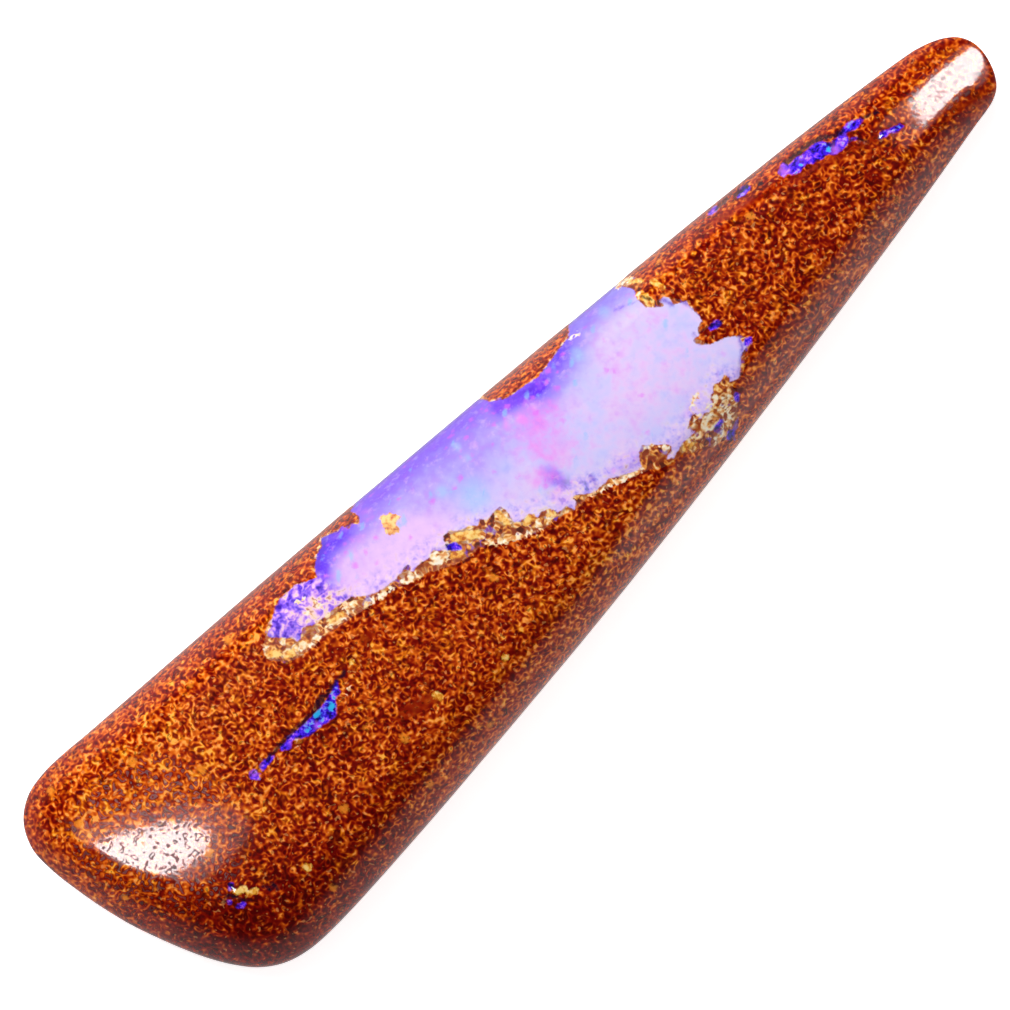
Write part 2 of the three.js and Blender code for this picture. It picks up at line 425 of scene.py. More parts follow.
PINK = [
    (520, 419, 7, 0.75), (528, 428, 22, 0.48), (546, 432, 22, 0.42), (541, 410, 14, 0.32),
    (552, 404, 9, 0.35), (566, 452, 26, 0.36), (538, 456, 18, 0.3), (545, 476, 10, 0.5),
    (537, 482, 8, 0.4), (363, 512, 9, 0.6),
    (350, 575, 24, 0.12), (507, 424, 6, 0.6),
    (352, 540, 14, 0.25), (480, 545, 20, 0.2), (610, 375, 12, 0.15), (650, 360, 60, 0.16),
    (560, 492, 14, 0.5), (487, 408, 9, 0.45), (318, 602, 14, 0.5), (783, 170, 7, 0.9),
    (835, 150, 6, 0.9), (254, 773, 6, 0.8), (317, 725, 5, 0.8), (806, 158, 7, 0.4),
    (745, 189, 5, 0.5), (713, 209, 5, 0.6), (290, 743, 5, 0.5), (660, 455, 10, 0.4),
]
SKY = [
    (470, 492, 24, 0.6), (505, 465, 12, 0.5), (545, 492, 10, 0.5), (577, 354, 12, 0.7),
    (604, 311, 9, 0.7), (455, 445, 7, 0.6), (467, 457, 6, 0.5), (441, 491, 7, 0.7),
    (560, 440, 12, 0.4), (600, 462, 12, 0.45), (590, 390, 26, 0.3), (704, 404, 8, 0.6),
    (583, 488, 5, 0.9), (640, 345, 10, 0.4), (615, 335, 10, 0.3), (480, 505, 16, 0.4),
    (317, 715, 7, 0.9), (331, 706, 6, 1.0), (308, 729, 6, 0.7), (335, 690, 5, 0.5), (829, 147, 5, 0.9), (800, 163, 4, 0.5),
    (851, 126, 5, 0.5), (357, 618, 3.4, 1.5), (284, 628, 8, 0.35), (819, 145, 5, 0.3),
    (898, 126, 5, 0.5), (741, 352, 5, 0.5),
]
GOLD = [
    ([(383, 518), (395, 517)], 9), ([(390, 518), (390, 529)], 12), ([(384, 523), (396, 529)], 7),
    ([(454, 537), (464, 535), (476, 534)], 10), ([(452, 555), (460, 553)], 7),
    ([(497, 512), (503, 519), (508, 523)], 7), ([(526, 522), (531, 517)], 8),
    ([(548, 514), (553, 512)], 6), ([(270, 653), (277, 653)], 9), ([(286, 655), (292, 652)], 8),
    ([(331, 620), (342, 613)], 7), ([(236, 892), (244, 889)], 8), ([(247, 894), (255, 890)], 7), ([(307, 867)], 10),
    ([(351, 661)], 7), ([(684, 449), (692, 444)], 6), ([(652, 280), (662, 287)], 6),
    ([(643, 296), (650, 302)], 9), ([(630, 280), (642, 280)], 5), ([(505, 657)], 9),
    ([(436, 695)], 9), ([(437, 693), (441, 697)], 6),
]
CREAM = [
    ([(486, 543), (496, 542), (506, 540), (516, 536), (526, 534), (536, 530)], 5),
    ([(502, 510), (508, 520), (512, 526)], 3), ([(537, 520), (541, 527)], 5),
    ([(612, 483), (622, 479), (632, 475), (641, 470)], 5), ([(590, 494), (602, 489), (612, 484)], 4),
    ([(300, 650), (311, 642), (318, 636)], 5), ([(326, 628), (338, 619), (350, 611)], 6),
    ([(344, 607), (352, 603)], 7), ([(366, 604), (380, 596), (392, 588)], 5),
    ([(404, 582), (414, 575)], 7), ([(434, 561), (444, 556)], 9), ([(437, 553), (431, 557)], 5),
    ([(296, 601), (303, 599)], 5), ([(312, 601), (320, 606)], 5), ([(302, 611), (311, 613)], 4),
    ([(617, 285), (623, 281), (630, 278)], 6), ([(697, 395), (693, 405)], 4),
    ([(263, 646), (268, 648)], 4.5), ([(243, 889), (247, 893)], 5),
    ([(570, 337), (577, 333)], 3), ([(698, 438), (705, 430), (703, 422), (711, 416)], 6), ([(709, 430), (716, 421), (722, 424)], 6),
    ([(708, 408), (716, 403), (715, 395)], 6), ([(721, 412), (727, 405), (722, 397)], 6),
    ([(725, 434), (715, 440)], 5), ([(727, 389), (731, 399)], 5), ([(730, 412), (728, 424)], 5),
    ([(694, 397), (691, 408)], 4), ([(699, 414), (693, 421)], 4),
    ([(668, 446), (660, 445)], 4), ([(652, 446), (646, 449)], 4), ([(557, 513), (548, 518)], 4),
    ([(349, 686), (347, 692)], 3), ([(297, 741), (294, 744)], 4),
]
RUST = [
    ([(645, 455), (655, 453), (662, 462)], 15), ([(720, 384), (731, 388)], 12),
    ([(306, 631)], 11), ([(690, 423), (694, 415)], 7), ([(519, 527), (510, 531)], 9),
    ([(476, 541), (484, 534)], 6), ([(706, 436), (700, 445)], 7), ([(497, 520), (504, 527)], 6),
    ([(318, 627), (324, 624)], 6), ([(414, 582), (424, 574)], 5),
]
SMOOTH = [  # rock without grain, beside the tip's veins and in a few red patches
    ([(990, 96), (950, 108), (910, 122), (870, 140), (830, 160), (790, 180), (750, 200), (712, 222)], 8),
    ([(404, 712), (416, 706), (430, 700)], 16), ([(362, 640), (372, 632)], 10),
    ([(650, 560), (670, 548)], 8),
]

MESS = [  # where the opal is broken up into flecks
    (284, 616, 24, 1.0), (304, 606, 24, 0.9), (322, 612, 20, 0.8), (345, 600, 16, 0.5),
    (556, 484, 18, 0.25), (582, 484, 16, 0.35), (312, 588, 14, 0.5),
]
PITTED = [(150, 842, 85, 1.0), (945, 86, 52, 0.45)]  # where fine pits are left in the polish
TONE_AND_PAINTED_LIGHT = [  # the rock's own lighter and darker tone, mixed with painted shade darkening the broad end's lower edge and a painted sheen lightening its left side
    (311, 913, 75, -0.8), (200, 948, 75, -0.85), (255, 945, 60, -0.3), (390, 850, 60, -0.2),
    (110, 765, 110, 0.3), (230, 690, 90, 0.25), (180, 740, 60, 0.1), (560, 545, 70, 0.15),
    (880, 92, 55, -0.08), (700, 420, 40, -0.2),
    (800, 250, 60, -0.15), (480, 640, 60, 0.12),
]

q = plan
edge_depth = line_distance(q, edge_line[::2], True)
edge_depth[: first_face_ring * C] *= -1
m_opal = depth_in(q, OPAL)
m_rim = depth_in(q, RIM)
m_low = line_distance(q, place(CRUMBLE_LINE))
m_vein = np.max([depth_in(q, v) for v in VEINS], 0)
fields = {
    "m_opal": m_opal,
    "m_rim": m_rim,
    "m_low": m_low,
    "m_vein": m_vein,
    "m_dark": strokes(q, DARK),
    "m_violet": strokes(q, VIOLET),
    "m_gold": strokes(q, GOLD),
    "m_cream": strokes(q, CREAM),
    "m_rust": strokes(q, RUST),
    "m_smooth": strokes(q, SMOOTH),
    "m_veil": bands(q, VEIL),
    "m_tone_painted_light": clouds(q, TONE_AND_PAINTED_LIGHT),
    "m_mess": clouds(q, MESS),
    "m_pits": clouds(q, PITTED),
    "m_edge": edge_depth,
    "m_purple": bands(q, PURPLE),
    "m_rose": clouds(q, ROSE),
    "m_pink": clouds(q, PINK),
    "m_sky": clouds(q, SKY),
}
on_back = np.zeros(len(q))
on_back[: BACK_RINGS * C] = 1
on_back[keel_at:] = 1
fields["m_back"] = on_back
SOFT = ("m_veil", "m_tone_painted_light", "m_mess", "m_pits", "m_purple", "m_rose", "m_pink", "m_sky", "m_low")
for name in fields:
    fields[name] = np.clip(fields[name], -2.0, 2.0)
    if name != "m_back":
        fields[name][on_back > 0] = -2.0 if name not in SOFT else 0.0

# ---- relief -----------------------------------------------------------------


def hashed(*cells):
    h = np.full(cells[0].shape, 0x9E3779B9, np.uint32)
    with np.errstate(over="ignore"):
        for c in cells:
            h ^= c.astype(np.int64).astype(np.uint32) * np.uint32(0x85EBCA6B)
            h = (h ^ (h >> np.uint32(13))) * np.uint32(0xC2B2AE35)
            h ^= h >> np.uint32(16)
    return h / 4294967295.0


def soft_noise(q, size, seed):
    """Smooth noise from 0 to 1 on the plan, with features of the given size in mm."""
    p = q / size
    i = np.floor(p).astype(int)
    f = p - i
    f = f * f * (3 - 2 * f)
    s = np.full(len(q), seed)
    v = [[hashed(i[:, 0] + a, i[:, 1] + b, s) for b in (0, 1)] for a in (0, 1)]
    low = v[0][0] + (v[1][0] - v[0][0]) * f[:, 0]
    high = v[0][1] + (v[1][1] - v[0][1]) * f[:, 0]
    return low + (high - low) * f[:, 1]


def grains(q, size, seed):
    """Distance to the nearest of scattered grain centres, over the grain size."""
    p = q / size
    i = np.floor(p).astype(int)
    best = np.full(len(q), 9.0)
    for a in (-1, 0, 1):
        for b in (-1, 0, 1):
            cx, cy = i[:, 0] + a, i[:, 1] + b
            s = np.full(len(q), seed)
            px = cx + hashed(cx, cy, s)
            py = cy + hashed(cx, cy, s + 7)
            best = np.minimum(best, np.hypot(p[:, 0] - px, p[:, 1] - py))
    return best


def step(a, b, v):
    t = np.clip((v - a) / (b - a), 0, 1)
    return t * t * (3 - 2 * t)


crumble = step(0.0, 0.06, fields["m_rim"]) * step(0.1, -0.05, fields["m_opal"])
mottled = step(0.0, 0.1, fields["m_opal"]) * step(0.55, 0.05, m_low)
lumps = 1 - grains(plan, 0.24, 3)
fine = soft_noise(plan, 0.11, 5)
relief = crumble * (-0.035 + 0.035 * lumps + 0.018 * (fine - 0.5))
relief += mottled * (0.010 * (lumps - 0.6) + 0.006 * (fine - 0.5))
relief -= 0.010 * step(-0.02, 0.10, fields["m_opal"]) * (1 - mottled)
relief -= 0.03 * step(-0.03, 0.08, m_vein)
relief -= 0.03 * step(0.0, 0.08, fields["m_dark"])
relief += 0.012 * step(0.0, 0.12, fields["m_gold"])
relief += 0.012 * (soft_noise(plan, 2.6, 21) - 0.5) + 0.006 * (soft_noise(plan, 1.1, 22) - 0.5)
relief[on_back > 0] = 0
under = np.repeat(np.arange(R), C)
fade = np.ones(len(xyz))
fade[: R * C] = np.clip((under - (BACK_RINGS - 1)) / 5.0, 0, 1)
relief *= fade

# ---- the mesh ---------------------------------------------------------------

mesh = bpy.data.meshes.new("polished_stone")
faces = [tuple(f) for f in quads.tolist()] + top_faces + keel_faces
mesh.from_pydata((xyz / 1000).tolist(), [], [tuple(int(v) for v in f) for f in faces])
mesh.update()
normals = np.empty(len(mesh.vertices) * 3, np.float32)
mesh.vertices.foreach_get("normal", normals)
xyz += normals.reshape(-1, 3) * relief[:, None]
mesh.vertices.foreach_set("co", (xyz / 1000).astype(np.float32).ravel())
mesh.update()
mesh.polygons.foreach_set("use_smooth", np.ones(len(mesh.polygons), bool))
for name, values in fields.items():
    layer = mesh.attributes.new(name, "FLOAT", "POINT")
    layer.data.foreach_set("value", values.astype(np.float32))

# Map for the surface: the face and the sides are laid out from the ridge along the
# square's diagonal, and the back, smaller, in the corner beside them.
grid = np.stack(rings)
ridge_of = ridge[spine_of]
steps = np.linalg.norm(np.diff(np.concatenate([grid[BACK_RINGS - 1 :], ridge_of[None]]), axis=0), axis=2)
steps[: UNDER_RINGS] *= 0.7
run = np.concatenate([np.cumsum(steps[::-1], 0)[::-1], np.zeros((1, C))])[:-1]
laid = np.zeros((len(xyz), 2))
laid[(BACK_RINGS - 1) * C : R * C] = (spine[spine_of][None] - inward[None] * run[..., None]).reshape(-1, 2)
laid[ridge_at:keel_at] = spine
laid_back = np.zeros((len(xyz), 2))
laid_back[: BACK_RINGS * C] = xyz[: BACK_RINGS * C, :2] * (-1, 1)
laid_back[keel_at:] = spine * (-1, 1)
diagonal = np.array([[1, 1], [-1, 1]]) / math.sqrt(2)
used = np.arange((BACK_RINGS - 1) * C, keel_at)
laid = laid @ diagonal
low_corner = laid[used].min(0)
unit = 0.988 / (laid[used].max(0) - low_corner).max()
laid = (laid - low_corner) * unit + 0.006
behind = np.concatenate([np.arange(BACK_RINGS * C), np.arange(keel_at, len(xyz))])
laid_back = laid_back @ diagonal * unit * 0.58
reach_x, reach_y = laid_back[behind, 0].max(), laid_back[behind, 1].min()
laid_back += (0.986 - reach_x, 0.014 - reach_y)
corner_of = np.empty(len(mesh.loops), np.int32)
mesh.loops.foreach_get("vertex_index", corner_of)
sides = np.array([len(f) for f in faces])
flat_back = np.zeros(len(faces), bool)
flat_back[:back_quads] = True
flat_back[len(quads) + len(top_faces) :] = True
on_flat = np.repeat(flat_back, sides)
uv = np.where(on_flat[:, None], laid_back[corner_of], laid[corner_of])
layer = mesh.uv_layers.new(name="OFBake")
layer.data.foreach_set("uv", uv.astype(np.float32).ravel())
stone = bpy.data.objects.new("polished_stone", mesh)
bpy.context.scene.collection.objects.link(stone)
mesh.vertices.foreach_get("normal", normals)
normals = normals.reshape(-1, 3).astype(float)


# ---- the stone's material ---------------------------------------------------


def linear(r, g, b):
    """A colour as seen on screen, 0 to 255, as scene light."""
    return tuple(
        v / 12.92 if v <= 0.04045 else ((v + 0.055) / 1.055) ** 2.4 for v in (r / 255, g / 255, b / 255)
    ) + (1.0,)


class Graph:
    def __init__(self, name):
        self.material = bpy.data.materials.new(name)
        self.material.use_nodes = True
        self.tree = self.material.node_tree
        self.tree.nodes.clear()
        self.count = 0

    def add(self, kind, **settings):
        node = self.tree.nodes.new(kind)
        node.location = (220 * (self.count // 8), -170 * (self.count % 8))
        self.count += 1
        for key, value in settings.items():
            setattr(node, key, value)
        return node

    def put(self, socket, value):
        if value is None:
            return
        if isinstance(value, bpy.types.NodeSocket):
            self.tree.links.new(value, socket)
        else:
            socket.default_value = value

    def math(self, op, a, b=None, c=None, clamp=False):
        node = self.add("ShaderNodeMath", operation=op, use_clamp=clamp)
        for socket, value in zip(node.inputs, (a, b, c)):
            self.put(socket, value)
        return node.outputs[0]

    def sum(self, *terms):
        total = terms[0]
        for term in terms[1:]:
            total = self.math("ADD", total, term)
        return total

    def times(self, a, b):
        return self.math("MULTIPLY", a, b)

    def scaled(self, a, gain, shift=0.0):
        return self.math("MULTIPLY_ADD", a, gain, shift)

    def ramp01(self, value, low, high):
        node = self.add("ShaderNodeMapRange", interpolation_type="SMOOTHSTEP")
        self.put(node.inputs["Value"], value)
        node.inputs["From Min"].default_value = low
        node.inputs["From Max"].default_value = high
        return node.outputs["Result"]

    def vector(self, op, a, b=None, scale=None):
        node = self.add("ShaderNodeVectorMath", operation=op)
        self.put(node.inputs[0], a)
        if b is not None:
            self.put(node.inputs[1], b)
        if scale is not None:
            self.put(node.inputs["Scale"], scale)
        return node.outputs["Vector"]

    def mix(self, share, a, b, blend="MIX"):
        node = self.add("ShaderNodeMix", data_type="RGBA", blend_type=blend)
        self.put(node.inputs[0], share)
        self.put(node.inputs[6], a)
        self.put(node.inputs[7], b)
        return node.outputs[2]

    def colours(self, value, stops, interpolation="LINEAR"):
        node = self.add("ShaderNodeValToRGB")
        node.color_ramp.interpolation = interpolation
        elements = node.color_ramp.elements
        while len(elements) < len(stops):
            elements.new(0.5)
        for element, (at, colour) in zip(elements, stops):
            element.position = at
        for element, (at, colour) in zip(elements, stops):
            element.position = at
            element.color = colour
        self.put(node.inputs[0], value)
        return node.outputs[0]

    def field(self, name):
        return self.add("ShaderNodeAttribute", attribute_name=name, attribute_type="GEOMETRY").outputs["Fac"]

    def noise(self, at, scale, detail=2.0, rough=0.5, twist=0.0, colour=False):
        node = self.add("ShaderNodeTexNoise", noise_dimensions="3D")
        self.put(node.inputs["Vector"], at)
        node.inputs["Scale"].default_value = scale
        node.inputs["Detail"].default_value = detail
        node.inputs["Roughness"].default_value = rough
        node.inputs["Distortion"].default_value = twist
        return node.outputs["Color" if colour else "Fac"]

    def cells(self, at, scale, feature="F1", random=1.0):
        node = self.add("ShaderNodeTexVoronoi", voronoi_dimensions="3D", feature=feature)
        self.put(node.inputs["Vector"], at)
        node.inputs["Scale"].default_value = scale
        node.inputs["Randomness"].default_value = random
        return node.outputs

    def warped(self, at, scale, amount, detail=0.0):
        away = self.vector("SUBTRACT", self.noise(at, scale, detail, colour=True), (0.5, 0.5, 0.5))
        return self.vector("ADD", at, self.vector("SCALE", away, scale=amount))

    def channel(self, colour, index):
        node = self.add("ShaderNodeSeparateColor")
        self.put(node.inputs[0], colour)
        return node.outputs[index]


def stone_material():
    g = Graph("ironstone_and_opal")
    # millimetres, with less height, so that the pattern isn't crowded on the shoulders
    at = g.vector("MULTIPLY", g.add("ShaderNodeTexCoord").outputs["Object"], (1000.0, 1000.0, 620.0))
    turned = g.add("ShaderNodeVectorRotate", rotation_type="EULER_XYZ")
    g.put(turned.inputs["Vector"], at)
    turned.inputs["Rotation"].default_value = (0.5, 0.35, 0.8)
    at = turned.outputs["Vector"]

    def centred(value):
        return g.scaled(value, 1.0, -0.5)

    def shifted(x, y, z):
        return g.vector("ADD", at, (x, y, z))

    # Wander of the edges, coarse and fine, in mm.
    wander = g.scaled(g.noise(at, 2.2, 2.0), 0.34, -0.17)
    ragged = g.scaled(g.noise(at, 8.0, 2.0, 0.6), 0.16, -0.08)

    opal = g.field("m_opal")
    rim = g.field("m_rim")
    low = g.field("m_low")
    edge_in = g.field("m_edge")

    # -- ironstone: worm-like grains of goethite in dark red-brown
    bent = g.warped(at, 3.0, 0.10)
    worm = g.math("SINE", g.scaled(centred(g.noise(bent, 5.3, 0.0)), 13.0, 0.6))
    speck = centred(g.noise(shifted(3.0, 8.0, 2.0), 6.6, 0.0))
    patch = centred(g.noise(at, 1.7, 3.0, 0.6))
    region = centred(g.noise(at, 0.33, 2.0))
    squiggle = g.sum(g.scaled(worm, 1.15), g.scaled(speck, 6.0))
    grain = g.sum(squiggle, g.scaled(patch, 3.6), g.scaled(region, 1.5))
    smooth = g.ramp01(g.sum(g.field("m_smooth"), wander), -0.08, 0.16)
    blurred = g.scaled(g.ramp01(edge_in, 0.9, 0.0), -0.34, 1.0)
    grain_share = g.times(g.scaled(smooth, -0.78, 1.0), blurred)
    grain = g.math("MULTIPLY_ADD", grain, grain_share, g.scaled(smooth, -0.25))
    # these clouds lighten and darken the rock: partly its own tone, partly painted shade and painted sheen
    tone = g.math("MULTIPLY_ADD", g.field("m_tone_painted_light"), 0.25, g.scaled(grain, 1 / 5.2, 0.5))
    red = g.colours(
        tone,
        [
            (0.0, linear(82, 0, 0)),
            (0.12, linear(100, 2, 0)),
            (0.25, linear(114, 7, 0)),
            (0.355, linear(128, 16, 0)),
            (0.45, linear(145, 29, 0)),
            (0.55, linear(169, 49, 2)),
            (0.645, linear(192, 71, 9)),
            (0.75, linear(214, 91, 16)),
            (0.86, linear(236, 119, 32)),
            (1.0, linear(253, 162, 70)),
        ],
    )
    yellow = g.colours(
        tone,
        [
            (0.0, linear(64, 6, 0)),
            (0.12, linear(86, 11, 0)),
            (0.25, linear(104, 20, 0)),
            (0.355, linear(121, 31, 0)),
            (0.45, linear(142, 46, 2)),
            (0.55, linear(168, 68, 6)),
            (0.645, linear(194, 89, 4)),
            (0.75, linear(217, 109, 7)),
            (0.86, linear(241, 140, 20)),
            (1.0, linear(254, 188, 64)),
        ],
    )
    rock = g.mix(g.scaled(g.ramp01(g.noise(at, 2.4, 2.0), 0.46, 0.68), 0.75), red, yellow)
    # pale bits of silica among the grains
    pale = g.ramp01(g.sum(g.noise(shifted(1.0, 5.0, 3.0), 7.8, 0.0), g.scaled(tone, 0.12)), 0.74, 0.84)
    rock = g.mix(g.times(pale, g.times(grain_share, 0.35)), rock, linear(244, 168, 96))
    # larger golden grains here and there
    spots = g.cells(bent, 1.05)
    chosen = g.ramp01(g.channel(spots["Color"], 0), 0.78, 0.82)
    golden = g.times(chosen, g.ramp01(g.sum(spots["Distance"], g.scaled(ragged, 1.4)), 0.22, 0.10))
    golden = g.times(golden, g.times(g.scaled(smooth, -0.8, 1.0), 0.75))
    rock = g.mix(golden, rock, linear(238, 140, 36))
    # and small dark hollows
    hollow = g.ramp01(g.sum(g.noise(shifted(6.0, 2.0, 7.0), 8.5, 0.0), g.scaled(patch, 0.25)), 0.36, 0.28)
    rock = g.mix(g.times(hollow, 0.6), rock, linear(60, 4, 0))

    # -- opal body
    cloud = g.noise(at, 0.9, 3.0, 0.55)
    cloud_fine = g.noise(at, 3.0, 2.0, 0.5)
    body = g.colours(
        g.sum(g.scaled(cloud, 0.7), g.scaled(cloud_fine, 0.3)),
        [
            (0.34, linear(203, 201, 254)),
            (0.45, linear(215, 204, 253)),
            (0.55, linear(226, 206, 251)),
            (0.66, linear(234, 211, 248)),
        ],
    )
    stir = g.scaled(g.sum(g.scaled(cloud_fine, 0.6), g.scaled(cloud, 0.4)), 1.6, -0.8)
    rose = g.ramp01(g.sum(g.field("m_rose"), g.times(stir, 0.9)), 0.0, 0.9)
    body = g.mix(g.math("MULTIPLY", rose, 0.85, clamp=True), body, linear(241, 203, 251))
    veil = g.sum(g.field("m_veil"), g.times(stir, 0.5))
    body = g.mix(g.math("MULTIPLY", g.ramp01(veil, -0.05, 0.95), 0.95, clamp=True), body, linear(150, 126, 250))
    body = g.mix(g.ramp01(veil, 0.85, 1.7), body, linear(98, 50, 230))
    purple = g.ramp01(g.sum(g.field("m_purple"), g.times(stir, 0.6)), 0.0, 0.9)
    body = g.mix(g.math("MULTIPLY", purple, 0.85, clamp=True), body, linear(148, 86, 250))
    body = g.mix(g.scaled(g.ramp01(g.field("m_rose"), 0.35, 1.1), 0.6), body, linear(246, 202, 250))
    pink = g.ramp01(g.sum(g.field("m_pink"), g.times(stir, 1.3)), 0.05, 1.15)
    body = g.mix(g.math("MULTIPLY", pink, 0.92, clamp=True), body, linear(238, 146, 246))
    sky = g.ramp01(g.sum(g.field("m_sky"), g.times(stir, 0.8)), 0.16, 1.0)
    body = g.mix(g.math("MULTIPLY", sky, 0.75, clamp=True), body, linear(166, 204, 252))
    # small puffs, paler and pinker or bluer
    puffs = g.noise(shifted(2.0, 6.0, 4.0), 3.0, 3.0, 0.65)
    puffed = g.scaled(g.ramp01(veil, 0.0, 0.8), 0.18, 0.14)
    body = g.mix(g.times(g.ramp01(puffs, 0.50, 0.75), puffed), body, linear(243, 206, 251))
    body = g.mix(g.times(g.ramp01(puffs, 0.50, 0.25), puffed), body, linear(160, 136, 250))
    # scattered pink dots and pale blue streaks, most of them in the violet
    dots = g.cells(g.warped(at, 4.0, 0.10), 3.2)
    dot = g.times(
        g.ramp01(g.sum(g.channel(dots["Color"], 0), g.scaled(veil, 0.42)), 0.88, 1.06),
        g.ramp01(g.sum(dots["Distance"], g.scaled(ragged, 3.6), g.scaled(g.channel(dots["Color"], 2), 0.30)), 0.56, 0.18),
    )
    body = g.mix(g.times(dot, 0.58), body, linear(230, 108, 247))
    streak_at = g.vector("MULTIPLY", shifted(4.0, 1.0, 0.0), (1.0, 0.45, 1.0))
    dashes = g.cells(streak_at, 2.6)
    dash = g.times(
        g.ramp01(g.sum(g.channel(dashes["Color"], 1), g.scaled(veil, 0.35)), 0.84, 0.94),
        g.ramp01(g.sum(dashes["Distance"], g.scaled(ragged, 2.4)), 0.32, 0.10),
    )
    body = g.mix(g.times(dash, 0.55), body, linear(136, 196, 252))
    # violet along its clean edges and cracks
    violet = g.ramp01(g.sum(g.field("m_violet"), g.scaled(ragged, 0.8), g.scaled(wander, 0.25)), -0.05, 0.10)
    body = g.mix(g.times(violet, 0.75), body, linear(92, 50, 206))
    # flecks where it meets the crumbly rim, and swirls where it is broken up
    stirred = g.warped(at, 2.0, 0.30)
    swirl = g.math("SINE", g.scaled(centred(g.noise(stirred, 3.2, 1.0)), 22.0, 0.4))
    fleck = g.noise(shifted(8.0, 3.0, 1.0), 3.9, 2.0, 0.5)
    near = g.ramp01(g.sum(low, g.scaled(wander, 2.0)), 1.0, 0.05)
    mottle = g.colours(
        g.sum(fleck, g.scaled(worm, 0.035), g.scaled(swirl, 0.05)),
        [
            (0.24, linear(84, 50, 200)),
            (0.34, linear(156, 122, 244)),
            (0.43, linear(214, 182, 250)),
            (0.53, linear(236, 200, 250)),
            (0.62, linear(250, 222, 246)),
            (0.72, linear(250, 220, 196)),
            (0.84, linear(220, 140, 80)),
        ],
    )
    body = g.mix(g.times(near, 0.6), body, mottle)
    mess = g.ramp01(g.sum(g.field("m_mess"), g.scaled(wander, 1.5)), 0.1, 0.8)
    broken_up = g.colours(
        g.sum(
            g.scaled(fleck, 0.9, 0.10),
            g.scaled(swirl, 0.07),
            g.scaled(worm, 0.03),
            g.scaled(g.field("m_rose"), 0.12),
            g.scaled(g.field("m_veil"), -0.07),
        ),
        [
            (0.26, linear(50, 24, 150)),
            (0.38, linear(100, 60, 216)),
            (0.47, linear(152, 104, 238)),
            (0.55, linear(208, 146, 230)),
            (0.63, linear(242, 200, 230)),
            (0.72, linear(248, 214, 184)),
            (0.82, linear(190, 100, 50)),
        ],
    )
    body = g.mix(g.times(mess, 0.9), body, broken_up)
    # painted shade: the opal is coloured darker towards its edges to offset the stronger key light falling on the
    # shoulders
    body = g.mix(g.scaled(g.ramp01(edge_in, 1.3, 0.1), 0.36), body, (0.03, 0.0, 0.42, 1.0))

    # -- crumbly rim: cream, gold and rust crystals with violet between
    crystal_at = g.warped(at, 3.0, 0.16)
    crystal = g.cells(crystal_at, 3.9)
    kind = g.channel(crystal["Color"], 0)
    lean = g.sum(
        g.scaled(kind, 0.52, 0.10),
        g.scaled(worm, 0.17),
        g.scaled(speck, 0.5),
        g.scaled(g.ramp01(g.sum(g.field("m_cream"), ragged), -0.06, 0.06), 0.24),
        g.scaled(g.ramp01(g.sum(g.field("m_rust"), ragged), -0.06, 0.06), -0.12),
    )
    crumb = g.colours(
        lean,
        [
            (0.0, linear(84, 22, 6)),
            (0.16, linear(146, 46, 8)),
            (0.32, linear(200, 98, 26)),
            (0.46, linear(232, 158, 62)),
            (0.60, linear(246, 206, 142)),
            (0.80, linear(252, 230, 198)),
            (1.0, linear(236, 200, 230)),
        ],
    )
    gaps = g.ramp01(g.sum(crystal["Distance"], g.scaled(ragged, 1.4)), 0.40, 0.62)
    gap_colour = g.mix(
        g.ramp01(g.noise(at, 2.4, 1.0), 0.57, 0.67), linear(150, 54, 10), linear(92, 52, 190)
    )
    crumb = g.mix(g.times(gaps, 0.7), crumb, gap_colour)

    # -- veins
    vein_tone = g.noise(g.warped(at, 3.0, 0.2), 4.4, 2.0, 0.6)
    vein = g.colours(
        vein_tone,
        [
            (0.28, linear(14, 8, 52)),
            (0.38, linear(26, 12, 120)),
            (0.46, linear(54, 22, 206)),
            (0.53, linear(80, 40, 244)),
            (0.59, linear(150, 74, 246)),
            (0.66, linear(196, 140, 246)),
            (0.72, linear(66, 110, 246)),
        ],
    )
    vein = g.mix(g.math("MULTIPLY", pink, 0.7, clamp=True), vein, linear(206, 110, 246))
    glow = g.ramp01(g.sum(g.field("m_sky"), g.scaled(centred(vein_tone), 3.0)), 0.35, 0.95)
    vein = g.mix(g.math("MULTIPLY", glow, 0.95, clamp=True), vein, linear(36, 176, 226))

